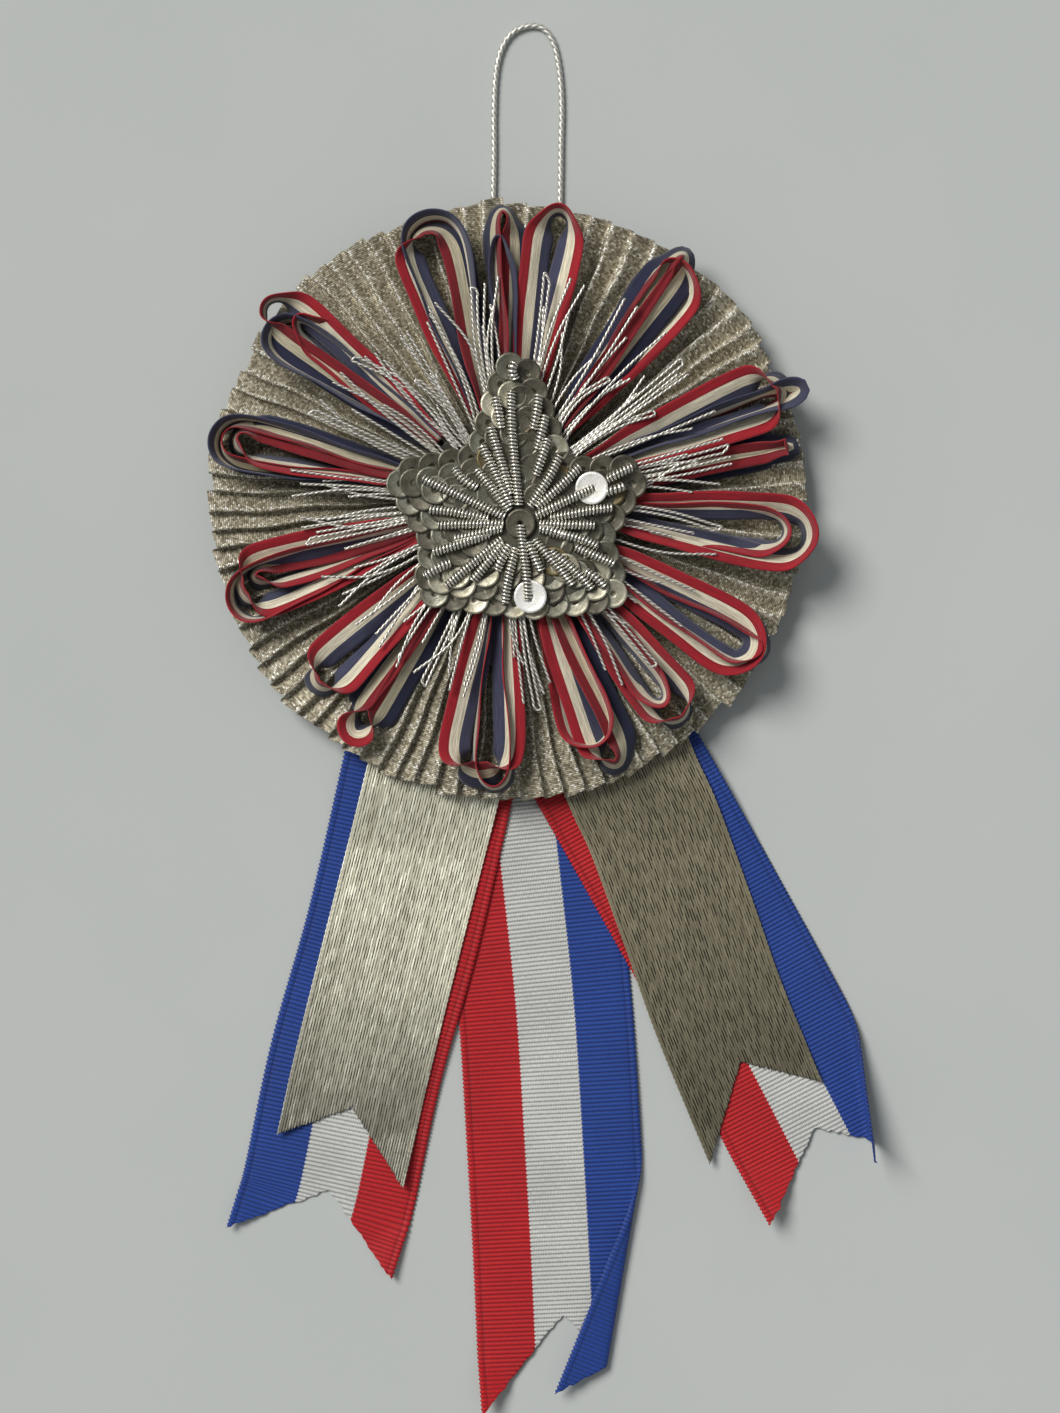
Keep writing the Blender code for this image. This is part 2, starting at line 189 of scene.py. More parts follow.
def on_rosette(piece, slot, *nodes):
    """A piece that rides on the rosette, and the CAD nodes that it stands for."""
    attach(piece, "rosette")
    if nodes:
        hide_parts(*nodes)


def add_bodies(name, bodies, materials):
    """One mesh object from several closed bodies, each its points, faces, cloth and each face's material."""
    points, faces, cloth, finish = zip(*bodies)
    starts = np.cumsum([0] + [len(p) for p in points])
    faces = np.vstack([f + start for f, start in zip(faces, starts)])
    return add_mesh(name, np.vstack(points), faces, materials, np.concatenate(finish), np.vstack(cloth))


def tube(path, size, sides, section):
    """A closed tube along `path`: its points, faces, cloth and face materials.

    `section` gives its radius as a share of `size`, from the angle round it and the distance along it.
    """
    along = travel(path)
    tangent = unit(np.gradient(path, axis=0))
    side = unit(np.cross(tangent, np.array([0, 0, 1.0]) + 1e-6))
    up = np.cross(side, tangent)
    turn = circle(sides) + np.zeros((len(path), 1))
    radius = size * section(turn, along[:, None])
    ring = np.cos(turn)[..., None] * side[:, None] + np.sin(turn)[..., None] * up[:, None]
    points = path[:, None] + ring * radius[..., None]
    first = np.arange(sides)
    last = first + (len(path) - 1) * sides
    following = np.roll(first, -1)
    start = np.full(sides, len(path) * sides)
    cap_a = np.stack([start, following, first, first], axis=1)
    cap_b = np.stack([start + 1, last, last[following], last[following]], axis=1)
    cloth = places(turn * size, along[:, None], radius / size)
    ends = np.array([[0, 0, 0], [0, along[-1], 0]])
    every = np.vstack([points.reshape(-1, 3), path[:1], path[-1:]])
    faces = np.vstack([grid_faces(len(path), sides, wrap=True)[:, ::-1], cap_a, cap_b])
    return every, faces, np.vstack([cloth.reshape(-1, 3), ends]), np.zeros(len(faces), int)


def twist(lobes, pitch, depth):
    """Section of a cord laid up from `lobes` strands, one turn every `pitch`."""
    half = 0.5 * lobes
    return lambda turn, along: 1 - depth + depth * np.abs(np.cos(half * (turn - FULL_TURN * along / pitch)))


def coil(pitch, depth):
    """Section of a close coil of fine wire, one turn every `pitch`."""
    return lambda turn, along: 1 - depth * (0.5 - 0.5 * np.cos(FULL_TURN * along / pitch - turn)) ** 2


# ---- Materials. Colours are display colours, 0 to 255 a channel.


def linear(colour):
    """A display colour as the linear one that a shader takes."""
    channels = [c / 255 for c in colour]
    return (*(c / 12.92 if c <= 0.04045 else ((c + 0.055) / 1.055) ** 2.4 for c in channels), 1.0)


def arithmetic(operation):
    """A method that adds one step of arithmetic, by its name in the Math node."""
    return lambda value, *others: value.shader.node("Math", value, *others, operation=operation)


class Value:
    """A number, place or colour in a material's nodes. Arithmetic with it makes more nodes."""

    def __init__(self, shader, socket):
        self.shader, self.socket = shader, socket

    __add__ = arithmetic("ADD")
    __sub__ = arithmetic("SUBTRACT")
    __mul__ = arithmetic("MULTIPLY")
    __truediv__ = arithmetic("DIVIDE")
    __abs__ = arithmetic("ABSOLUTE")

    def __rsub__(self, other):
        return self.shader.node("Math", other, self, operation="SUBTRACT")

    def math(self, operation, *others):
        """Any other step of arithmetic."""
        return arithmetic(operation)(self, *others)

    def spread(self, low, high, to_low=0.0, to_high=1.0):
        """Its range from `low` to `high`, moved to another and clamped there."""
        return self.shader.node("MapRange", self, low, high, to_low, to_high)


class Shader:
    """A procedural material. Sizes in its textures are in millimetres."""

    def __init__(self, name, roughness, specular, **constants):
        self.material = bpy.data.materials.new(name)
        self.material.use_nodes = True
        self.tree = self.material.node_tree
        self.inputs = self.tree.nodes["Principled BSDF"].inputs
        self.inputs["Roughness"].default_value = roughness
        self.inputs["Specular IOR Level"].default_value = specular
        for key, value in constants.items():
            self.inputs[key.replace("_", " ").title()].default_value = value

    def node(self, kind, *values, output=0, **settings):
        """Adds a node, sets or links its inputs in order (None leaves one alone), returns one output."""
        made = self.tree.nodes.new("ShaderNode" + kind)
        for key, value in settings.items():
            setattr(made, key, value)
        for socket, value in zip(made.inputs, values):
            if isinstance(value, Value):
                self.tree.links.new(value.socket, socket)
            elif value is not None:
                socket.default_value = value
        return Value(self, made.outputs[output])

    def cloth(self):
        """The three numbers that each point keeps about its place in the cloth."""
        split = self.node("SeparateXYZ", self.node("Attribute", attribute_name="cloth", output=1))
        return [Value(self, output) for output in split.socket.node.outputs]

    def place(self, x=1.0, y=1.0, z=1.0):
        """The point's place in the object, in millimetres, stretched by a factor each way."""
        where = self.node("TexCoord", output=3)
        return self.node("VectorMath", where, (x / MM, y / MM, z / MM), operation="MULTIPLY")

    def noise(self, where, scale, detail=2.0, rough=0.5):
        """Smooth noise, 0 to 1, at a place or at the numbers of one."""
        where = where if isinstance(where, Value) else self.node("CombineXYZ", *where)
        return self.node("TexNoise", where, None, scale, detail, rough)

    def cell(self, *where):
        """One random number, 0 to 1, for each whole-number cell."""
        whole = self.node("VectorMath", self.node("CombineXYZ", *where), operation="FLOOR")
        return self.node("TexWhiteNoise", whole)

    def mix(self, factor, a, b):
        """A blend of two colours."""
        a, b = (c if isinstance(c, Value) else linear(c) for c in (a, b))
        return self.node("Mix", factor, *[None] * 5, a, b, output=2, data_type="RGBA")

    def grade(self, colour, value):
        """A colour made darker or lighter by a number."""
        colour = colour if isinstance(colour, Value) else linear(colour)[:3]
        return self.node("VectorMath", colour, self.node("CombineXYZ", *[value] * 3), operation="MULTIPLY")

    def finish(self, colour, height=None, depth=0.0, roughness=None):
        """The material, given its colour, fine relief (`depth` for a height of 1) and roughness."""
        links = {"Base Color": colour}
        if height is not None:
            links["Normal"] = self.node("Bump", 1.0, depth * MM)
            self.tree.links.new(height.socket, links["Normal"].socket.node.inputs["Height"])
        if roughness is not None:
            links["Roughness"] = roughness
        for name, value in links.items():
            self.tree.links.new(value.socket, self.inputs[name])
        return self.material


def ribbed_silk(name, colour):
    """Grosgrain: crosswise ribs wrapped in fine lengthwise threads, with a woven-in edge."""
    s = Shader(name, 0.6, 0.35, sheen_weight=0.2, sheen_roughness=0.4)
    u, v, edge = s.cloth()
    row = (v + s.noise((u * 0.25, v), 1.3) * 0.06) / RIB
    thread = (u * (FULL_TURN / SILK_THREAD)).math("COSINE")
    valley = ((row * FULL_TURN).math("COSINE") + thread * 0.55).spread(0, 1.3)
    fibre = s.noise((u * 7, v * 1.6), 1, 3)
    patch = s.noise((u, v), 0.12, 3)
    seam = abs(edge - 0.5)
    light = fibre.spread(0.25, 0.75, 0.78, 1.16) * patch.spread(0.3, 0.7, 0.9, 1.06)
    # Painted shade: the colour darkens in the valleys between the ribs and between the lengthwise threads
    light = light * valley.spread(0, 1, 1.08, 0.42) * seam.spread(0, 0.3, 0.74, 1)
    relief = valley * -0.7 + fibre * 0.5 + seam.spread(0, 0.3, -0.8, 0)
    return s.finish(s.grade(colour, light), relief, 0.06)


def silver_lame(name, bright, dull, slit, slit_share, between_slits, fade):
    """Lame ribbon: bright lengthwise wires, dark slits between them, and painted shade that darkens it
    towards the cut end, where its sheen falls off.
    """
    s = Shader(name, 0.36, 0.6, metallic=0.4)
    u, v, edge = s.cloth()
    column = u / FLOAT_PITCH
    between = abs(column.math("FRACT") - 0.5)
    wire, gap_number = column.math("FLOOR"), column.math("ROUND")
    gap_row = v / FLOAT_LENGTH + (gap_number * 0.37 + s.cell(gap_number, 3) * 0.55)
    gap_end = abs(gap_row.math("FRACT") - 0.5)
    gap = between.spread(0.5 - slit_share, 0.5 - 0.5 * slit_share)
    gap = gap * gap_end.spread(0.26, 0.36, 1, between_slits)
    gap = gap * s.cell(gap_number, gap_row.math("FLOOR")).spread(0.1, 0.6, 0.35, 1)
    chance = s.cell(wire, 9, 4)
    row = v / (0.6 * FLOAT_LENGTH) + chance
    glint = s.cell(wire, row.math("FLOOR"), 7)
    streak = s.noise((u * 4, v * 0.12), 1)
    patch = s.noise((u, v), 0.1)
    shine = chance.spread(0, 1, 0.55, 0.9) * streak.spread(0.3, 0.7, 0.75, 1.1)
    shine = (shine + glint.spread(0.82, 0.95, 0, 0.45)) * between.spread(0.15, 0.5, 1, 0.35)
    # Painted shade: the wires darken along the tail towards the cut end, standing for the sheen falling off
    sheen_fade = (v + patch * 16).spread(*SHEEN_FADE_FROM_TO, 1, fade)
    body = s.grade(s.mix(shine, dull, bright), sheen_fade)
    dark = gap * (1 - edge)
    return s.finish(s.mix(dark, body, slit), shine * 0.5 - dark, 0.07, streak.spread(0.3, 0.7, 0.3, 0.44))


def matte_ribbon(name, colour):
    """The petals' narrow ribbon: matte, with fine lengthwise fibres."""
    s = Shader(name, 0.78, 0.3, sheen_weight=0.2, sheen_roughness=0.5)
    u, v, _ = s.cloth()
    fibre = s.noise((u * 11, v * 0.55), 1, 3)
    streak = s.noise((u * 3, v * 0.12, 5), 1)
    grain = s.noise((u, v, 2), 9)
    light = fibre.spread(0.25, 0.75, 0.64, 1.24) * streak.spread(0.3, 0.7, 0.72, 1.12)
    light = light * grain.spread(0.25, 0.75, 0.88, 1.1)
    return s.finish(s.grade(colour, light), fibre + grain * 0.4, 0.1)


def silver_gauze(name):
    """Pleated gauze: olive ground, flecks of flat metal thread, and glints that gather on the folds."""
    s = Shader(name, 0.5, 0.5, metallic=0.2)
    u, v, ridge = s.cloth()
    rows = v / GAUZE_ROW
    threads = u / GAUZE_THREAD + rows.math("FLOOR") * 0.37
    chance, other = s.cell(threads, rows), s.cell(threads, rows, 7.3)
    groove = abs(rows.math("FRACT") - 0.5).spread(0.28, 0.5)
    grain = s.noise((u, v), 1.1, 4, 0.7)
    patch = s.noise((u * 0.4, v), 0.16)
    ground = s.mix(chance.math("POWER", 1.2), (112, 103, 82), (228, 219, 194))
    ground = s.mix(grain.spread(0.3, 0.7, 0, 0.5), ground, (132, 124, 102))
    ground = s.grade(ground, patch.spread(0.3, 0.7, 0.82, 1.12))
    ground = s.grade(ground, groove.spread(0, 1, 1.08, 0.5))
    glint = other.math("GREATER_THAN", ridge.spread(0, 1, 0.95, 0.62))
    glint = glint * groove.spread(0.2, 0.8, 1, 0)
    relief = groove * -0.6 + (chance + grain)
    return s.finish(s.mix(glint, ground, (246, 244, 234)), relief, 0.08, glint.spread(0, 1, 0.55, 0.3))


def metal_thread(name, bright, dull, rough=0.34, metal=0.6, dark_below=0.66):
    """Twisted metal thread, with painted shade in the valleys between its strands."""
    s = Shader(name, rough, 0.6, metallic=metal)
    u, v, w = s.cloth()
    fleck = s.noise((u * 3, v * 3), 1.4)
    # Painted shade: the colour runs from the dull one in the valleys between the strands to the bright one
    # on their crests
    shine = w.spread(dark_below, 0.97) * fleck.spread(0.3, 0.6, 0.55, 1)
    return s.finish(s.mix(shine, dull, bright), fleck, 0.04)


def tarnished(name, bright, dull, rough, metal):
    """Sheet metal with brown and grey tarnish."""
    s = Shader(name, rough, 0.6, metallic=metal)
    where = s.place()
    cloud = s.noise(where, 0.7, 4, 0.6)
    fleck = s.noise(where, 4.5, 3, 0.7)
    body = s.mix(cloud.spread(0.35, 0.65), dull, bright)
    body = s.mix(fleck.spread(0.55, 0.72, 0, 0.6), body, (60, 55, 40))
    return s.finish(body, fleck + cloud, 0.03, cloud.spread(0.3, 0.7, rough + 0.15, rough - 0.08))


def felt(name, colour):
    """Wool felt: matted fibres that run every way."""
    s = Shader(name, 0.95, 0.2, sheen_weight=0.5, sheen_roughness=0.5)
    fibre = s.noise(s.place(3, 1), 1.2, 4, 0.7)
    other = s.noise(s.place(1, 3), 1.2, 4, 0.7)
    cloud = s.noise(s.place(), 0.15, 3)
    light = fibre.spread(0.3, 0.7, 0.75, 1.2) * other.spread(0.3, 0.7, 0.8, 1.15)
    light = light * cloud.spread(0.3, 0.7, 0.9, 1.05)
    return s.finish(s.grade(colour, light), fibre + other, 0.12)


def card(name, colour):
    """Pulp card with faint flecks and fibres."""
    s = Shader(name, 0.88, 0.25)
    fibre = s.noise(s.place(4, 1), 0.9, 4, 0.7)
    fleck = s.noise(s.place(), 6)
    light = fibre.spread(0.3, 0.7, 0.88, 1.08) * fleck.spread(0.3, 0.7, 0.94, 1.04)
    body = s.mix(fleck.spread(0.68, 0.75, 0, 0.5), s.grade(colour, light), (120, 100, 70))
    return s.finish(body, fibre + fleck, 0.04)


# ---- Camera, light and floor

VIEW_MIDDLE = (3.16, -29.2)
VIEW_HEIGHT = 203.0
LENS = 85.0
SENSOR = 36.0
WINDOW_STRENGTH = 3.0
WINDOW_SPREAD = math.radians(28)
WINDOW_COLOUR = (1.0, 0.985, 0.96)
WINDOW_HEADING = (0.62, -0.55, -0.95)
ROOM_COLOUR = (0.93, 0.97, 1.0, 1.0)
ROOM_STRENGTH = 0.29
FLOOR_HALF = 1500.0
FLOOR_Z = -0.05


def view_and_light():
    """The camera looks straight down; the light is large and soft, from the upper left."""
    scene = bpy.context.scene
    camera = bpy.data.objects.new("camera", bpy.data.cameras.new("camera"))
    camera.data.sensor_fit = "VERTICAL"
    camera.data.sensor_height = SENSOR
    camera.data.lens = LENS
    camera.data.clip_start = 0.01
    camera.location = (VIEW_MIDDLE[0] * MM, VIEW_MIDDLE[1] * MM, VIEW_HEIGHT * LENS / SENSOR * MM)
    scene.collection.objects.link(camera)
    scene.camera = camera

    lamp = bpy.data.objects.new("window", bpy.data.lights.new("window", "SUN"))
    lamp.data.energy = WINDOW_STRENGTH
    lamp.data.angle = WINDOW_SPREAD
    lamp.data.color = WINDOW_COLOUR
    lamp.rotation_euler = Vector(WINDOW_HEADING).to_track_quat("-Z", "Y").to_euler()
    scene.collection.objects.link(lamp)

    world = bpy.data.worlds.new("room")
    world.use_nodes = True
    sky = world.node_tree.nodes["Background"].inputs
    sky[0].default_value = ROOM_COLOUR
    sky[1].default_value = ROOM_STRENGTH
    scene.world = world
    scene.view_settings.view_transform = "Standard"
    scene.view_settings.look = "None"

    corners = np.array([[-1, -1, 0], [1, -1, 0], [1, 1, 0], [-1, 1, 0]], float) * FLOOR_HALF
    corners[:, 2] = FLOOR_Z
    s = Shader("floor_paint", 0.9, 0.5)
    paint = s.finish(s.mix(s.noise(s.place(), 0.02, 3.0), (178, 182, 180), (186, 189, 186)))
    floor = add_mesh("floor", corners, np.array([[0, 1, 2, 3]]), [paint], smooth=False)


view_and_light()


# ---- Hanging cord

CORD_DIAMETER = 0.8
# A little over half the diameter, because the twist's valleys make the cord look thinner
CORD_SHARE = 0.53
CORD_Z = 0.45
CORD_LEFT = [(-2.6, 25, 1.3), (-2.4, 30, 1.1), (-2.2, 36, 0.7), (-2.1, 40, 0.5), (-2.1, 44.2, CORD_Z)]
CORD_LOOP = [(-2.0, 50), (-2.0, 56), (-1.7, 61.8), (-0.8, 65.4), (0.8, 67.6), (3.2, 68.5), (5.2, 68.0),
             (6.6, 65.8), (7.4, 61.8), (7.7, 56.8), (7.6, 51.7)]
CORD_RIGHT = [(7.5, 44.2, CORD_Z), (7.4, 40, 0.5), (7.3, 36, 0.7), (7.0, 30, 1.1), (6.6, 25, 1.3)]


def hanging_cord():
    """One twisted cord, out from under the rosette, round the loop and back."""
    path = curve_through(CORD_LEFT + [(x, y, CORD_Z) for x, y in CORD_LOOP] + CORD_RIGHT, 0.1)
    points, faces, cloth, _ = tube(path, CORD_DIAMETER * CORD_SHARE, 18, twist(3, 3.2, 0.24))
    silver = metal_thread("cord_silver", (226, 224, 216), (112, 108, 98), 0.45)
    cord = add_mesh("hanging_cord", points, faces, [silver], cloth=cloth)
    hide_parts("hanging_loop", "cord_end_left", "cord_end_right")
    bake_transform(cord)


hanging_cord()


# ---- Ribbon tails

RIB = 0.61
RIB_HEIGHT = 0.07
SILK_THREAD = 0.24
FLOAT_PITCH = 0.38
FLOAT_LENGTH = 3.1
# Where along a lame tail, in millimetres, its painted shade begins and reaches full strength
SHEEN_FADE_FROM_TO = (38.0, 74.0)
TAIL_THICKNESS = 0.16
TRICOLOUR_WIDTH = 25.0
SILVER_WIDTH = 19.5
EDGE_BAND = 0.95
EDGE_CORD = 0.7
FRAY = 0.16
# Tails lie flat from here on, after coming down from their heads over SETTLE_LENGTH
SETTLE_Y = -40.0
SETTLE_LENGTH = 10.0
LAYER = 0.34

# Each tail: depth of the V cut, extra reach of its right tip, layers below it, middle line, and its
# rolled or lifted corners: a point on the fold line, the way it folds in, the roll's radius, its full turn
TAILS = {
    "centre_tail": (14, 0, 0, [
        (0.5, -27), (1.8, -40), (3.2, -52.4), (5.3, -72), (6.6, -92), (7.5, -108), (8.2, -123.6)],
        [((17.1, -103.4), (0.985, -0.171), 0.7, 172), ((-3.4, -122), (-0.5, -0.86), 5, 24)]),
    "left_tail": (9.5, 0, 1, [
        (-8.6, -27), (-11.4, -39.2), (-16.5, -61.3), (-21.8, -80.2), (-25.6, -98), (-27.1, -103.2)],
        [((-37.5, -97), (-0.75, -0.66), 6, 12), ((-18, -104), (0.55, -0.83), 8, 10)]),
    "right_tail": (9.7, 0, 1, [
        (9.5, -27), (14, -35), (20.2, -46), (26.1, -56.5), (33.3, -69.5), (39.2, -80.5), (46.2, -94.1)],
        [((50.2, -86), (0.985, 0.14), 1.5, 97), ((39, -95), (-0.2, -0.98), 5, 24)]),
    "left_silver_tail": (7.9, 1.8, 2, [
        (-7.9, -28), (-10.7, -40.1), (-16.1, -61.3), (-20.9, -80.5), (-23.2, -90.6)],
        [((-30, -85), (-0.8, -0.6), 6, 10), ((-16.5, -90), (0.3, -0.95), 8, 8)]),
    "right_silver_tail": (9.5, -2.4, 2, [
        (13.8, -30), (17.9, -40), (21.1, -47.1), (26.2, -61.1), (30.2, -72.4), (35.2, -84.6)],
        [((29.5, -89), (-0.2, -0.98), 8, 10), ((42.5, -78), (0.9, -0.3), 8, 8)]),
}


def laid_height(x, y, layers):
    """Height of a tail's underside where it lies on the floor and on the tails below it."""
    wave = 0.5 + 0.5 * np.sin(0.14 * y + 0.05 * x + 1.0)
    roll = 0.5 + 0.5 * np.sin(0.19 * x - 0.06 * y)
    ground = 0.05 + 0.5 * wave * roll
    if layers == 0:
        return ground
    centre = np.array(TAILS["centre_tail"][3], float)
    aside = np.abs(x - np.interp(-y, -centre[:, 1], centre[:, 0]))
    over = ease((TRICOLOUR_WIDTH / 2 + 4.0 - aside) / 5.0)
    return ground + LAYER * (over + layers - 1)


def fold(points, base, direction, radius, turn):
    """Rolls up what lies beyond a line in the plan, by up to `turn` degrees."""
    heading = unit(np.array([*direction, 0.0]))
    beyond = np.maximum((points - np.array([*base, 0.0])) @ heading, 0)
    angle = np.minimum(beyond / radius, math.radians(turn))
    rest = beyond - radius * angle
    reach = radius * np.sin(angle) + rest * np.cos(angle)
    moved = points + heading * (reach - beyond)[..., None]
    moved[..., 2] += radius * (1 - np.cos(angle)) + rest * np.sin(angle)
    return moved


def lay_tail(name, across, step, relief, mark, colours):
    """One tail, cut to a V and laid in place.

    `across` are its lengthwise lines and `step` its rows. `relief` gives the thickness of the weave and how
    far it shifts sideways, `mark` the third number for the materials, and `colours` the stripes.
    """
    notch, skew, layers, middle, curls = TAILS[name]
    width = across[-1] - across[0]
    tip = notch / 2 + abs(skew)
    line = curve_through([(*p, 0.0) for p in middle], 1.0)
    line_at = travel(line)
    length = line_at[-1]
    along = np.arange(0, length + tip + step, step)
    heading = unit(np.gradient(line, axis=0))
    ahead = np.maximum(along - length, 0)[:, None]
    spine = read_off(line, line_at, along) + heading[-1] * ahead
    forward = unit(read_off(heading, line_at, along))
    side = places(-forward[:, 1], forward[:, 0], 0.0)

    part_way = across / (width / 2)
    edge = length + notch * (np.abs(part_way) - 0.5) + skew * part_way
    edge = np.minimum(edge + RANDOM.normal(0, FRAY, len(across)), along[-1])
    rows = np.minimum(np.arange(len(along))[:, None], np.searchsorted(along, edge))
    faces = quads(rows * len(across) + np.arange(len(across)))
    reach = np.minimum(along[:, None], edge)
    aside = np.broadcast_to(across, reach.shape)
    cloth = places(aside, reach, mark(aside)).reshape(-1, 3)

    thick, shifted = relief(aside, reach)
    low = np.clip(np.floor(reach / step).astype(int), 0, len(along) - 2)
    part = (reach / step - low)[..., None]
    flat = spine[low] * (1 - part) + spine[low + 1] * part + side[low] * shifted[..., None]
    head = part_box(name + "_head")[0].z / MM + 0.02
    settle = ease((SETTLE_Y - flat[..., 1]) / SETTLE_LENGTH)
    flat[..., 2] = head * (1 - settle) + laid_height(flat[..., 0], flat[..., 1], layers) * settle
    for curl in curls:
        flat = fold(flat, *curl)
    normal = unit(np.cross(np.gradient(flat, axis=1), np.gradient(flat, axis=0)))
    if normal[..., 2].mean() < 0:
        normal = -normal
    top = flat + normal * (TAIL_THICKNESS + thick)[..., None]
    bottom = flat + normal * (0.12 * thick)[..., None]
    real = (faces[:, 0] != faces[:, 1]) | (faces[:, 2] != faces[:, 3])
    column = np.tile(np.arange(len(across) - 1), len(along) - 1)[real]
    points, faces, source, _ = close_sheet(top, bottom, faces[real])
    stripe = column[source] * len(colours) // (len(across) - 1)
    used, renumbered = np.unique(faces, return_inverse=True)
    piece = add_mesh(name + "_ribbon", points[used], renumbered.reshape(faces.shape), colours, stripe,
                     np.vstack([cloth, cloth])[used])

    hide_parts(name, name + "_head")
    size = (width * MM, (length + tip) * MM)
    width * length * MM * MM
    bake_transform(piece)


def tricolour_tail(name, colours):
    """A grosgrain tail in three lengthwise stripes."""
    half = TRICOLOUR_WIDTH / 2
    across = np.linspace(-half, half, 3 * 16 + 1)
    for seam in (EDGE_BAND - half, half - EDGE_BAND):
        across[np.abs(across - seam).argmin()] = seam

    def relief(s, t):
        rib = np.abs(np.sin(math.pi * t / RIB)) ** 0.7
        beat = np.cos(FULL_TURN * t / RIB)
        near_edge = ease(np.abs(s) - half + 1.0)
        near_join = np.exp(-((np.abs(s) - half / 3) / 0.3) ** 2)
        shifted = s - np.sign(s) * 0.11 * beat * near_edge + 0.1 * near_join * beat
        seam = np.exp(-((np.abs(s) - half + EDGE_BAND) / 0.25) ** 2)
        return RIB_HEIGHT * rib * (1 - 0.3 * near_edge) + 0.05 * near_edge - 0.05 * seam, shifted

    def mark(s):
        return np.clip(0.5 + (np.abs(s) - half + EDGE_BAND) / 0.9, 0, 1)

    lay_tail(name, across, RIB / 5, relief, mark, colours)


def silver_tail(name, lame):
    """A lame tail with corded edges."""
    half = SILVER_WIDTH / 2
    across = np.linspace(-half, half, int(round(SILVER_WIDTH / FLOAT_PITCH * 4)) + 1)

    def mark(s):
        return ease((np.abs(s) - half + EDGE_CORD) / 0.25)

    def relief(s, t):
        ridge = np.abs(np.sin(math.pi * s / FLOAT_PITCH)) ** 0.6
        cord = mark(s)
        beads = 0.5 + 0.5 * np.cos(FULL_TURN * t / 0.9)
        shifted = s + np.sign(s) * 0.12 * cord * (beads - 0.5)
        return 0.05 * ridge * (1 - cord) + cord * (0.06 + 0.14 * beads), shifted

    lay_tail(name, across, FLOAT_LENGTH / 8, relief, mark, [lame])


def ribbon_tails():
    """All five tails."""
    red = ribbed_silk("grosgrain_red", (176, 14, 24))
    white = ribbed_silk("grosgrain_white", (192, 192, 188))
    blue = ribbed_silk("grosgrain_blue", (24, 60, 138))
    tricolour_tail("centre_tail", [red, white, blue])
    tricolour_tail("left_tail", [blue, white, red])
    tricolour_tail("right_tail", [red, white, blue])
    bright = silver_lame("lame_bright", (255, 252, 230), (150, 142, 112), (52, 46, 30), 0.2, 0.3, 0.3)
    dull = silver_lame("lame_dull", (156, 148, 122), (104, 97, 76), (24, 21, 14), 0.24, 0.2, 0.5)
    silver_tail("left_silver_tail", bright)
    silver_tail("right_silver_tail", dull)


ribbon_tails()


# ---- Pleated rosette

PLEAT_COUNT = 90
PLEAT_INNER_RADIUS = 10.0
PLEAT_OUTER_RADIUS = 42.7
PLEAT_STEPS = 9
PLEAT_ROWS = 84
PLEAT_DEPTH = 1.9
# Where in a pleat its ridge is, and the length of ribbon that one pleat takes
RIDGE = 0.7
PLEAT_RIBBON = 4.6
GAUZE_THICKNESS = 0.14
GAUZE_ROW = 0.27
GAUZE_THREAD = 0.36


def pleated_rosette():
    """A ribbon of gauze in knife pleats, sewn round the card; every pleat leans on the next."""
    widths = RANDOM.uniform(0.82, 1.18, PLEAT_COUNT)
    starts = np.concatenate([[0], np.cumsum(widths)]) * FULL_TURN / widths.sum()
    heights = RANDOM.uniform(0.8, 1.0, PLEAT_COUNT)
    reaches = RANDOM.normal(0, 0.28, PLEAT_COUNT)
    pleat = np.repeat(np.arange(PLEAT_COUNT), PLEAT_STEPS)
    phase = np.tile(np.arange(PLEAT_STEPS) / PLEAT_STEPS, PLEAT_COUNT)
    theta = starts[pleat] + phase * (starts[pleat + 1] - starts[pleat])
    tall = heights[pleat] * (1 - phase) + np.roll(heights, -1)[pleat] * phase
    rise = np.where(phase < RIDGE, phase / RIDGE, (1 - phase) / (1 - RIDGE))
    rise = 0.5 - 0.5 * np.cos(math.pi * rise)
    out = np.linspace(0, 1, PLEAT_ROWS)[:, None]
    reach = PLEAT_OUTER_RADIUS + reaches[pleat] - 0.55 * rise + 0.12 * np.sin(9 * theta)
    radius = PLEAT_INNER_RADIUS + out * (reach - PLEAT_INNER_RADIUS)
    sway = 0.0045 * np.sin(radius * 0.21 + 3 * np.sin(theta * 2)) + 0.004 * np.sin(radius * 0.5 + 5 * theta)
    angle = theta + sway + 0.012 * rise * (0.4 + out)
    sag = 0.25 * ease((out - 0.8) / 0.2) * rise
    wave = 0.05 * np.sin(FULL_TURN * radius / 0.84)
    depth = PLEAT_DEPTH + 0.25 * out
    height = PLEAT_LOW + 0.12 + depth * rise * tall - sag + wave * (0.3 + 0.7 * rise)
    top = places(radius * np.cos(angle), radius * np.sin(angle), height + GAUZE_THICKNESS)
    points, faces = ring_sheet(top, top - [0, 0, GAUZE_THICKNESS])
    ridge = np.exp(-((phase - RIDGE) / 0.1) ** 2)
    cloth = places((pleat + phase) * PLEAT_RIBBON, radius, ridge).reshape(-1, 3)
    gauze = silver_gauze("pleated_gauze")
    piece = add_mesh("gauze_pleats", points, faces, [gauze], None, np.vstack([cloth, cloth]))
    on_rosette(piece, "silver_gauze", "pleated_rosette")


pleated_rosette()


# ---- Petal loops

STRIPES = (1.45, 1.5, 1.8)
PETAL_WIDTH = sum(STRIPES)
PETAL_ROOT = 12.7
PETAL_THICKNESS = 0.16
PETAL_FLARE = 2.3
PETAL_SINK = 1.1
STATION = 0.45
STRIPE_COLUMNS = 4

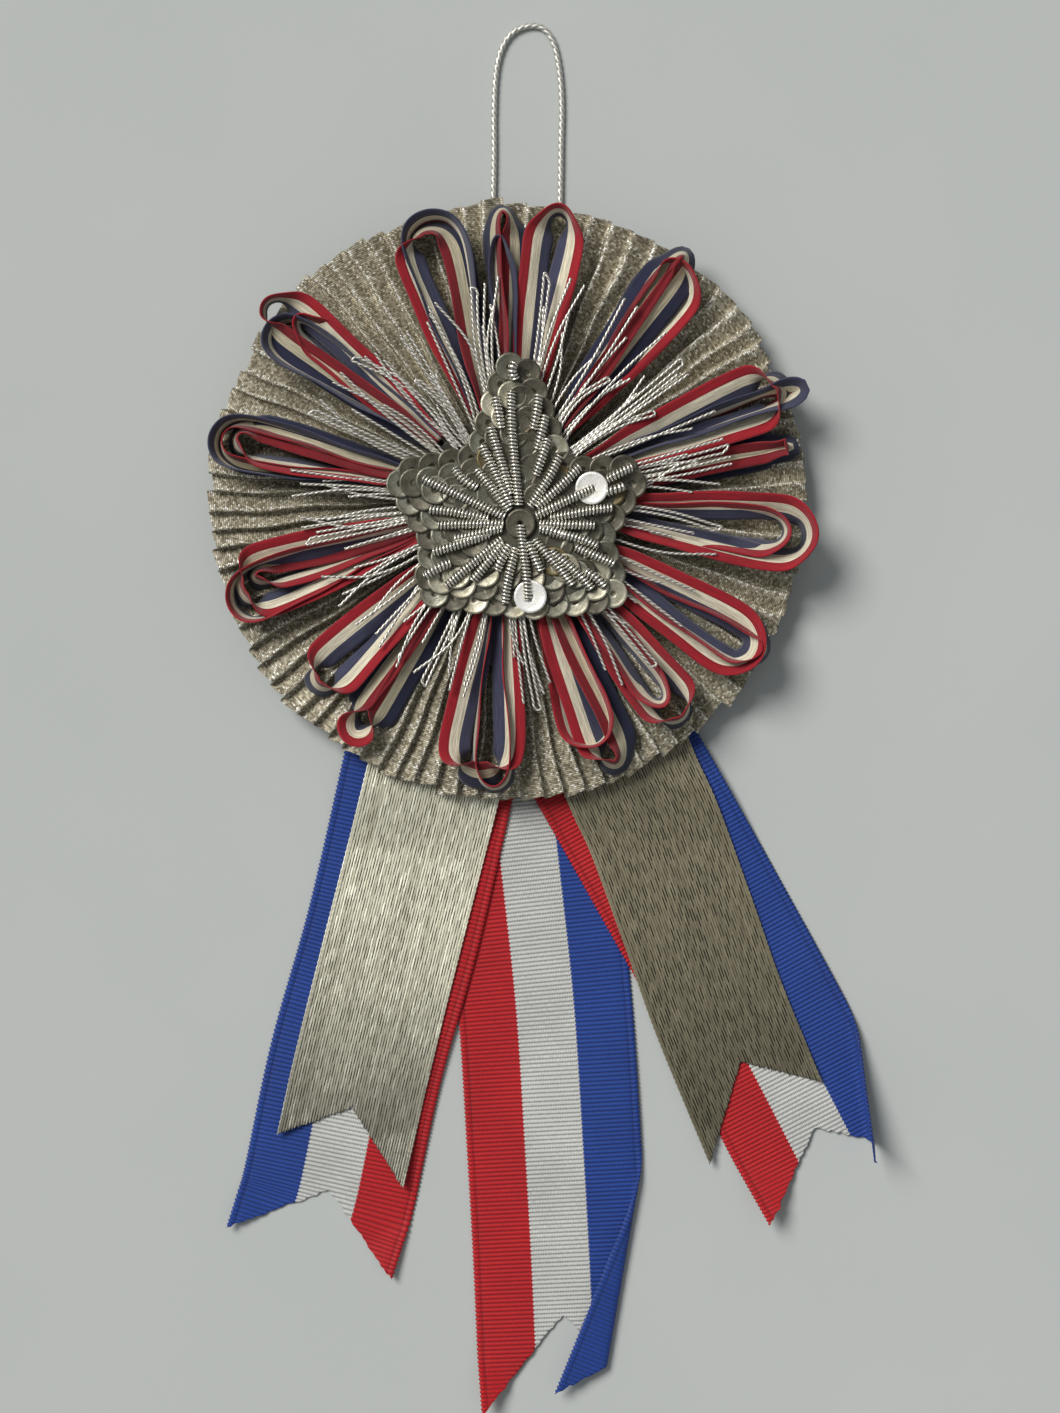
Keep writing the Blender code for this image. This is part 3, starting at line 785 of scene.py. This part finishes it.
# Each petal: direction, tip radius, width over its legs, then its loops. A loop has its share of the petal's
# length and width and its turn to one side in degrees; its lean in degrees at the first (anticlockwise) leg,
# the tip and the second leg (above 0 the upper edge leans out); its height; and if its upper edge is red.
PETALS = [
    (10.8, 42.2, 4.6, ((1, 0.5, 0), (-78, -40, -60), 7.2, True)),
    (22.2, 44, 8, ((0.97, 1, 0), (64, -34, 66), 7.9, True),
     ((1.03, 0.4, -1.4), (14, 30, 14), 6.2, False)),
    (53.7, 43.8, 8.6, ((1, 0.5, 0.6), (-68, -30, -68), 8.2, True),
     ((0.92, 1.1, -0.8), (-30, 12, 54), 6.6, True)),
    (79.8, 42, 6.5, ((1, 1.1, 0), (62, 12, 56), 7.3, True)),
    (90, 41.8, 5.7, ((1, 1, 1), (-30, -20, -66), 7.9, True),
     ((0.84, 0.5, 2), (20, 14, 30), 6.4, False)),
    (106.5, 42.1, 9.5, ((0.96, 0.92, 0.4), (66, -30, -66), 7.9, True),
     ((1, 1.15, -0.6), (8, 18, 16), 6.5, False)),
    (140.8, 44.2, 8, ((1, 0.95, 0), (-64, 10, 56), 8, True),
     ((0.84, 0.5, -1.5), (40, 10, 50), 6.3, True),
     ((0.92, 1.15, 3), (12, 20, 6), 6.2, False)),
    (167.7, 42.6, 8.6, ((0.92, 0.72, -0.5), (30, -20, -64), 8.1, True),
     ((0.97, 1, 0.3), (-24, -12, -30), 6.9, True),
     ((1, 1.2, 0.4), (6, 14, 10), 6.2, False)),
    (198.4, 41.8, 8.6, ((0.97, 1.1, 0), (54, -30, 60), 7.9, True),
     ((0.88, 0.5, -1.6), (30, -20, -60), 6.6, True),
     ((1, 1.2, 2.2), (8, 12, 8), 6.2, True)),
    (224, 38.6, 7.2, ((1, 1, 0), (56, -28, 68), 7.7, True)),
    (236.6, 40.8, 6, ((1, 1, 0), (-62, 50, -58), 7.3, True)),
    (264, 41.3, 9.6, ((0.97, 1.05, 0), (72, -52, 72), 7.9, True),
     ((1, 0.75, 3.2), (-6, -14, -10), 6.3, True)),
    (292.4, 41.5, 7, ((1, 0.9, 0), (-66, -26, 68), 7.9, True),
     ((0.84, 1.2, -2.6), (14, 10, 44), 6.3, True)),
    (308.6, 40.8, 7.6, ((0.98, 1.1, 0), (44, -20, 44), 7.6, True),
     ((0.84, 0.6, -1), (24, 14, 30), 6.2, True)),
    (328, 42.7, 8.6, ((0.97, 1, 0), (66, 44, 66), 8, True),
     ((1, 0.9, 1), (-40, -16, 16), 6.3, True)),
    (353, 43.6, 9.6, ((1, 1, 0), (52, 22, 54), 8, True),
     ((0.88, 0.7, 0.4), (20, 10, 36), 6.1, True)),
]
# Half of a loop's plan: share of its length from the root, share of half its width
LOOP_PLAN = [(0, 0.25), (0.3, 0.52), (0.6, 0.82), (0.84, 1), (0.95, 0.8), (1, 0.3)]
# Where along a loop its lean changes, and how much of its leg's lean it has in the first four and last four
LEAN_AT = [0, 0.12, 0.2, 0.42, 0.46, 0.54, 0.58, 0.8, 0.88, 1]
LEAN_SHARES = [0.5, 0.8, 1, 1]
# The top of each ribbon in three colours, then its darker underside, partly the less faded back of the
# ribbon and partly painted shade
PETAL_COLOURS = {"red": (158, 20, 34), "cream": (228, 219, 194), "slate": (62, 64, 88),
                 "dark_red": (126, 14, 26), "dark_cream": (198, 188, 160), "navy": (33, 36, 62)}


def loop_path(direction, tip, width, plan, tip_lean):
    """Plan points of a loop, from its root out along one leg, round the tip and back."""
    share, across, turn = plan
    overhang = 0.4 * PETAL_WIDTH * math.sin(math.radians(abs(tip_lean)))
    length = (tip - overhang - PETAL_ROOT) * share
    half_width = 0.5 * max(width - PETAL_FLARE, 1.6) * across
    half = [(PETAL_ROOT + length * a, half_width * b) for a, b in LOOP_PLAN]
    outline = half + [(a, -b) for a, b in half[::-1]]
    points = [(*polar(a, direction + turn * (a - PETAL_ROOT) / length, b), 0.0) for a, b in outline]
    return curve_through(points, STATION)


def ribbon_loop(path, leans, height, red_up):
    """The body of one loop of ribbon; where it leans, it shows its three stripes side by side."""
    along = travel(path)
    share = along / along[-1]
    tangent = unit(np.gradient(path, axis=0))
    outward = places(-tangent[:, 1], tangent[:, 0], 0.0)
    first, tip, second = leans
    levels = [first * k for k in LEAN_SHARES] + [tip, tip] + [second * k for k in LEAN_SHARES[::-1]]
    lean = np.interp(share, LEAN_AT, levels)
    lean = np.radians(np.convolve(np.pad(lean, 2, mode="edge"), np.ones(5) / 5, mode="valid"))
    lean = lean + 0.07 * np.sin(along * 0.45 + path[0, 0]) * ease(share / 0.1) * ease((1 - share) / 0.1)
    cross = np.sin(lean)[:, None] * outward + np.cos(lean)[:, None] * [0, 0, 1.0]
    inward = unit(np.cross(tangent, cross))
    inward *= np.sign((inward * -outward).sum(axis=1) + 1e-6)[:, None]
    edges = np.concatenate([[0], np.cumsum(STRIPES)]) - PETAL_WIDTH / 2
    columns = [np.linspace(a, b, STRIPE_COLUMNS + 1)[:-1] for a, b in zip(edges, edges[1:])]
    columns = np.concatenate(columns + [edges[-1:]]) * (-1 if red_up else 1)
    droop = 0.6 * ease((share - 0.25) / 0.2) * ease((0.75 - share) / 0.2)
    clear = PLEAT_HIGH - PETAL_SINK + 0.5 * PETAL_WIDTH * np.cos(lean)
    middle = path.copy()
    middle[:, 2] = np.maximum(height - droop, clear)
    crown = 0.14 * (1 - (columns / np.abs(columns).max()) ** 2)
    pinch = 1 - 0.3 * (1 - ease(share / 0.12)) - 0.3 * (1 - ease((1 - share) / 0.12))
    grid = middle[:, None] + cross[:, None] * (columns * pinch[:, None])[..., None]
    grid = grid + inward[:, None] * crown[:, None]
    thick = inward[:, None] * PETAL_THICKNESS * 0.5
    faces = grid_faces(len(path), len(columns))
    points, faces, source, side = close_sheet(grid + thick, grid - thick, faces)
    stripe = np.tile(np.repeat([0, 1, 2], STRIPE_COLUMNS), len(path) - 1)[source]
    cloth = places(columns, along[:, None], 0.0).reshape(-1, 3)
    # The underside takes the darker colours: partly its less faded back, partly painted shade
    return points, faces, np.vstack([cloth, cloth]), stripe + 3 * (side == 1)


def petal_loops():
    """Every petal: one to three loops of striped ribbon, each petal one piece."""
    ribbons = [matte_ribbon("petal_" + name, colour) for name, colour in PETAL_COLOURS.items()]
    for number, (direction, tip, width, *loops) in enumerate(PETALS, 1):
        bodies = []
        for plan, leans, height, red_up in loops:
            path = loop_path(direction, tip, width, plan, leans[1])
            bodies.append(ribbon_loop(path, leans, height, red_up))
        node = "petal_loop_%02d" % number
        on_rosette(add_bodies(node + "_ribbon", bodies, ribbons), "petal_ribbon", node)


petal_loops()


# ---- Thread sprays

STRAND_RADIUS = 0.22
STRAND_ROOT = 9.5
STRAND_STEP = 0.12
SPRAY_COUNT = 12
SPRAY_FIRST = 6.0
HAIRPIN_SPREAD = 1.5
# Strands, anticlockwise from +X: direction of the tip in degrees, its radius, and 2 for a hairpin
STRANDS = [
    (4, 30, 1), (9, 32, 1), (10.8, 32, 1), (13, 32, 2), (15.6, 31.5, 1), (23, 31.8, 1), (30.5, 24, 2),
    (34.6, 31, 1), (38.3, 31.3, 2), (42, 26, 1), (46.5, 32.3, 1), (50, 22, 2), (56, 32.7, 1),
    (59.7, 32.7, 1), (70.2, 32, 1), (74, 32.3, 1), (80, 32.3, 2), (92.4, 31.4, 1), (96, 30.6, 1),
    (99, 30.2, 2), (110.3, 29.5, 1), (112.4, 29.3, 1), (121, 27.6, 1), (123.3, 27.6, 1), (127.5, 21, 2),
    (132.2, 27.8, 1), (137.5, 29.4, 2), (142.8, 29.6, 1), (146.2, 29.6, 1), (152, 29.9, 1),
    (156, 30.4, 2), (172.4, 30.8, 1), (175.8, 29.3, 1), (179.2, 30.4, 1), (184.8, 29.5, 1),
    (187.9, 29.3, 1), (192, 29, 2), (197, 24, 1), (202.7, 28.4, 1), (208, 23, 1), (212.5, 28.2, 1),
    (219.6, 27.8, 1), (225.7, 26.6, 1), (229.1, 27.6, 1), (236.5, 28.4, 1), (241.5, 27.8, 1),
    (245.5, 28.7, 2), (253.1, 28.2, 1), (257.4, 28.6, 1), (274.5, 28.9, 1), (278.2, 30, 2),
    (280.6, 28, 1), (301.7, 30.8, 1), (311.4, 31.2, 2), (323.9, 30.4, 1), (333.9, 29.5, 1),
    (345.2, 30.4, 1), (351.8, 30.4, 2)]


def strand_path(tip_angle, tip_radius, root_angle, bow, rise):
    """A strand from under the star to its tip, bowed to one side."""
    line = []
    for share in (0.0, 0.3, 0.65, 1.0):
        radius = STRAND_ROOT + (tip_radius - STRAND_ROOT) * share
        angle = root_angle + (tip_angle - root_angle) * share**0.9
        height = SPRAY_LOW + 0.45 + rise * share * (1.6 - share)
        line.append((*polar(radius, angle, bow * math.sin(math.pi * share)), height))
    return curve_through(line, STRAND_STEP)


def thread_sprays():
    """Loose twisted silver threads between the petals, one piece for each spray."""
    silver = metal_thread("spray_silver", (250, 247, 238), (92, 84, 68))
    strand = (STRAND_RADIUS, 9, twist(2, 1.7, 0.4))
    spacing = 360 / SPRAY_COUNT
    for number in range(SPRAY_COUNT):
        middle = SPRAY_FIRST + spacing * number
        bodies = []
        for angle, radius, count in STRANDS:
            offset = (angle - middle + 180) % 360 - 180
            if not -spacing / 2 <= offset < spacing / 2:
                continue
            root = middle + offset * RANDOM.uniform(0.75, 1.05)
            bow = RANDOM.normal(0, 1.2)
            rise = RANDOM.uniform(0.0, 1.0)
            tips = []
            for leg in range(count):
                spread = HAIRPIN_SPREAD * (leg - (count - 1) / 2)
                tips.append(strand_path(middle + offset + spread, radius, root + 1.4 * spread, bow, rise))
            path = tips[0]
            if count == 2:
                path = curve_through(np.vstack([tips[0][::12], tips[1][::-12]]), STRAND_STEP)
            bodies.append(tube(path, *strand))
            # A shorter strand beside it
            short = radius * RANDOM.uniform(0.72, 0.97)
            aside = middle + offset + RANDOM.uniform(-2.6, 2.6)
            root += RANDOM.uniform(-1.5, 1.5)
            path = strand_path(aside, short, root, RANDOM.normal(0, 0.9), 0.4 * rise)
            bodies.append(tube(path, *strand))
        name = "%02d" % (number + 1)
        piece = add_bodies("silver_threads_" + name, bodies, [silver])
        on_rosette(piece, "silver_thread", "thread_spray_" + name)


thread_sprays()


# ---- Star badge

STAR_CENTRE = np.array([1.8, -3.6])
# Corners of the card star, anticlockwise from the top one, each with its rounding
STAR_CORNERS = [((0.9, 26.4), 3), ((-5.2, 6.9), 1.5), ((-18, 4.4), 2.8), ((-11.8, -6.3), 1.5),
                ((-13, -14.6), 3.4), ((3, -16.4), 6), ((17.6, -15.2), 3.2), ((14.3, -5.7), 1.5),
                ((21.4, 5.6), 2.8), ((8.6, 5.3), 1.5)]
ARMS = {"top": 91.7, "left": 158.0, "lower_left": 216.6, "lower_right": 323.7, "right": 25.1}
SEQUIN_RADIUS = 2.05
SEQUIN_SIDES = 26
SEQUIN_HALF_THICKNESS = 0.06
# Rows of sequins from the rim inwards: how far in, how far apart, how high
SEQUIN_ROWS = [(1.35, 2.8, 0.0), (3.3, 3.1, 0.3), (5.2, 3.2, 0.55), (7.2, 3.4, 0.75)]
# Below this y more of the sequins are paler
PALER_BELOW = -9.0
PURL_RADIUS = 0.72
PURL_PITCH = 0.5
# Bullion purls about the star's centre: direction in degrees, radius where each starts and ends
PURLS = [
    (94, 2.6, 18.6), (92, 20.4, 22.6), (101, 13.8, 18.1), (107, 4.4, 14.2), (116, 2.9, 12.3),
    (129, 2.5, 9.7), (140, 8, 12), (155, 2.4, 15), (171, 4.6, 12.9), (181, 2.4, 11.4), (193, 2.7, 9.4),
    (198, 4.6, 12.8), (220, 3.4, 13.7), (209, 11.3, 15.2), (230, 3.7, 10.3), (244, 3.5, 7.2),
    (259, 3.5, 11.4), (276, 0.2, 10.7), (294, 2.9, 7.1), (311, 3, 11.2), (318, 5.8, 13.5),
    (324, 11.5, 14.5), (337, 8.5, 14.2), (344, 4.4, 11.3), (346, 2.9, 6.7), (359, 2.7, 10.3),
    (10, 4.3, 13.1), (26, 2.5, 11.4), (44, 3.3, 11.6), (27, 13.8, 17.5), (20, 13.1, 15.4),
    (60, 2.8, 10.9), (72, 7.2, 12.6), (77, 10.8, 15.6), (82, 13.5, 18.2)]
# Rings of the padding, from its rim to its middle: share of the outline, share of the height
PAD_RINGS = [(1, 0), (0.97, 0.5), (0.85, 0.85), (0.6, 1), (0.3, 1), (0.02, 1)]


def nearest_arm(x, y):
    """The name of the arm that a plan point belongs to."""
    angle = math.degrees(math.atan2(y - STAR_CENTRE[1], x - STAR_CENTRE[0]))
    return min(ARMS, key=lambda arm: abs((angle - ARMS[arm] + 180) % 360 - 180))


def star_outline():
    """The star's rim in the plan, with every corner rounded."""
    outline = []
    corners = [(Vector(point), radius) for point, radius in STAR_CORNERS]
    for i, (corner, radius) in enumerate(corners):
        before = (corners[i - 1][0] - corner).normalized()
        after = (corners[(i + 1) % len(corners)][0] - corner).normalized()
        half_angle = before.angle(after) / 2
        reach = radius / math.tan(half_angle)
        middle = corner + (before + after).normalized() * (radius / math.sin(half_angle))
        start = (corner + before * reach - middle).normalized()
        end = (corner + after * reach - middle).normalized()
        outline += [tuple(middle + start.slerp(end, step / 6) * radius) for step in range(7)]
    return np.array(outline)


def star_line(inset, step):
    """Points evenly round the star, `inset` millimetres in from its rim."""
    ring = star_outline()
    closed = np.vstack([ring[-1:], ring, ring[:1]])
    tangent = unit(closed[2:] - closed[:-2])
    inner = ring + np.stack([-tangent[:, 1], tangent[:, 0]], axis=1) * inset
    inner, rim = (np.vstack([line, line[:1]]) for line in (inner, ring))
    at = travel(inner)
    line = read_off(inner, at, np.linspace(0, at[-1], int(round(at[-1] / step)), endpoint=False))
    at = travel(rim)
    rim = read_off(rim, at, np.linspace(0, at[-1], 400))
    clear = np.linalg.norm(line[:, None] - rim[None], axis=-1).min(axis=1)
    return line[clear > 0.85 * inset]


def star_height(x, y):
    """Height of the padded star's top."""
    away = np.hypot(x - STAR_CENTRE[0], y - STAR_CENTRE[1])
    return PAD_HIGH - 0.05 + 0.35 * (1 - ease(away / 16.0))


def sequin(x, y, radius, height, tilt, heading):
    """A cupped metal disc with a hole, tilted along a heading."""
    rings = np.array([0.17, 0.3, 0.62, 0.84, 1.0]) * radius
    cup = np.array([0.0, 0.01, 0.02, 0.05, 0.1]) * radius
    r, a = np.meshgrid(rings, circle(SEQUIN_SIDES), indexing="ij")
    top = places(r * np.cos(a), r * np.sin(a), cup[:, None])
    top[..., 2] += top @ np.array([math.cos(heading), math.sin(heading), 0]) * math.tan(tilt)
    top += [x, y, height]
    thick = np.array([0, 0, SEQUIN_HALF_THICKNESS])
    return ring_sheet(top + thick, top - thick)


def border_sequins(finishes):
    """Overlapping sequins in rows from the star's rim inwards."""
    border = {arm: [] for arm in ARMS}
    for inset, spacing, raised in SEQUIN_ROWS:
        line = star_line(inset, spacing)
        ahead = np.roll(line, -1, axis=0) - np.roll(line, 1, axis=0)
        for (x, y), (dx, dy) in zip(line, ahead):
            heading = math.atan2(dy, dx) + RANDOM.normal(0, 0.3)
            height = PAD_LOW + 0.2 + raised + RANDOM.uniform(0, 0.15)
            # Sequins towards the bottom of the star are more often paler
            pale_share = 0.42 if y < PALER_BELOW else 0.03
            kind = RANDOM.choice(4, p=[0.54 - pale_share / 2, 0.4 - pale_share / 2, 0.06, pale_share])
            points, faces = sequin(x, y, SEQUIN_RADIUS, height, 0.1, heading)
            body = (points, faces, 0 * points, np.full(len(faces), kind))
            border[nearest_arm(x, y)].append(body)
    for arm, bodies in border.items():
        on_rosette(add_bodies("sequins_" + arm, bodies, finishes), "dark_sequin", "star_sequins_" + arm)


def bullion_purls():
    """Short lengths of coiled wire that lie over the padding, their ends sunk into it."""
    wire = metal_thread("bullion_wire", (250, 246, 232), (38, 33, 23), 0.22, 0.8, 0.72)
    rays = {arm: [] for arm in ARMS}
    for angle, start, end in PURLS:
        line = []
        bow = RANDOM.normal(0, 0.25)
        for share in (0, 0.33, 0.67, 1.0):
            bent = angle + bow * math.sin(math.pi * share) * 4
            x, y = STAR_CENTRE + polar(start + (end - start) * share, bent)
            sink = 0.35 * abs(2 * share - 1) ** 3
            line.append((x, y, float(star_height(x, y)) + 0.5 - sink))
        body = tube(curve_through(line, PURL_PITCH / 7), PURL_RADIUS, 12, coil(PURL_PITCH, 0.32))
        rays[nearest_arm(*line[2][:2])].append(body)
    for arm, bodies in rays.items():
        on_rosette(add_bodies("bullion_" + arm, bodies, [wire]), "bullion_wire", "bullion_rays_" + arm)


def star_padding():
    """The padded middle of the star."""
    outline = star_line(1.6, 1.0)
    rows = []
    for share, lift in PAD_RINGS:
        ring = STAR_CENTRE + (outline - STAR_CENTRE) * share
        z = PAD_LOW + lift * (star_height(ring[:, 0], ring[:, 1]) - PAD_LOW - 0.1)
        rows.append(np.column_stack([ring, z]))
    top = np.stack(rows)
    bottom = top.copy()
    bottom[..., 2] = PAD_LOW - 0.05
    pad = add_mesh("star_padding", *ring_sheet(top, bottom), [felt("pad_felt", (84, 82, 70))])
    on_rosette(pad, "felt", "star_pad")


def star_badge():
    """Border sequins, bullion purls, three single sequins and the padding."""
    old = tarnished("sequin_silver", (110, 105, 90), (66, 62, 52), 0.38, 0.6)
    greyer = tarnished("sequin_grey", (134, 132, 118), (84, 82, 68), 0.38, 0.65)
    browner = tarnished("sequin_brown", (116, 102, 68), (74, 64, 42), 0.42, 0.6)
    paler = tarnished("sequin_paler", (196, 192, 172), (140, 134, 112), 0.36, 0.6)
    pale = tarnished("sequin_pale", (250, 249, 244), (226, 223, 214), 0.34, 0.3)
    border_sequins([old, greyer, browner, paler])
    bullion_purls()
    for node, radius, raised, metal, slot in (("centre_sequin", 2.1, 0.5, old, "dark_sequin"),
                                              ("bright_sequin_right", 2.3, 0.4, pale, "bright_sequin"),
                                              ("bright_sequin_lower", 2.3, 0.4, pale, "bright_sequin")):
        low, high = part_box(node)
        middle = (low + high) / 2 / MM
        disc = sequin(middle.x, middle.y, radius, PAD_HIGH + raised, 0.08, 0.6)
        on_rosette(add_mesh(node + "_disc", *disc, [metal]), slot, node)
    star_padding()


star_badge()


# ---- Felt, card and the back

COVER_RADIUS = 24.0
CORE_RADIUS = 12.0
STITCH_COUNT = 44
STITCH_INSET = 1.6
STITCH_RADIUS = 0.14
# Share of the spacing that a stitch takes, and its height from one end to the other
STITCH_SHARE = 0.55
STITCH_HEIGHTS = [0.16, 0.04, 0.02, 0.04, 0.16]
FELT_SIDES = 120
# Rings of a felt disc as shares of its radius; the first leaves a pinprick, too small to see
FELT_RINGS = np.concatenate([[0.002], np.linspace(0.15, 0.9, 8), [0.97, 1.0]])


def felt_disc(name, node, colour, radius):
    """A felt disc with a soft, uneven edge, in the place of a CAD disc."""
    low, high = layer(node)
    turn = circle(FELT_SIDES)
    edge = radius * (1 + 0.004 * np.sin(7 * turn) + 0.003 * np.sin(13 * turn + 1))
    r = FELT_RINGS[:, None] * edge
    soft = 1 - 0.45 * np.clip((FELT_RINGS - 0.93) / 0.07, 0, 1) ** 2
    middle, half = (low + high) / 2, (high - low) / 2
    top = places(r * np.cos(turn), r * np.sin(turn), middle + half * soft[:, None])
    bottom = top.copy()
    bottom[..., 2] = middle - half * soft[:, None]
    piece = add_mesh(name, *ring_sheet(top, bottom), [felt(name + "_wool", colour)])
    on_rosette(piece, "felt", node)
    return piece


def back_and_core():
    """The felt back with its ring of stitches, the felt core, and the two cards."""
    cover = felt_disc("back_felt", "back_cover", (72, 76, 92), COVER_RADIUS)
    core = felt_disc("core_felt", "petal_core_disc", (54, 51, 42), CORE_RADIUS)
    thread = metal_thread("sewing_thread", (214, 208, 196), (150, 144, 132), 0.7)
    stitches = []
    for number in range(STITCH_COUNT):
        start, end = (360 / STITCH_COUNT * (number + part) for part in (0.0, STITCH_SHARE))
        path = [(*polar(COVER_RADIUS - STITCH_INSET, start + (end - start) * k / 4), z)
                for k, z in enumerate(STITCH_HEIGHTS)]
        stitches.append(tube(curve_through(path, 0.15), STITCH_RADIUS, 8, twist(2, 0.9, 0.3)))
    on_rosette(add_bodies("back_stitches", stitches, [thread]), "felt")
    for node, colour in (("backing_disc", (206, 198, 176)), ("star_base", (214, 204, 178))):
        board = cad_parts[node]
        board.data.materials.clear()
        board.data.materials.append(card(node + "_card", colour))


back_and_core()
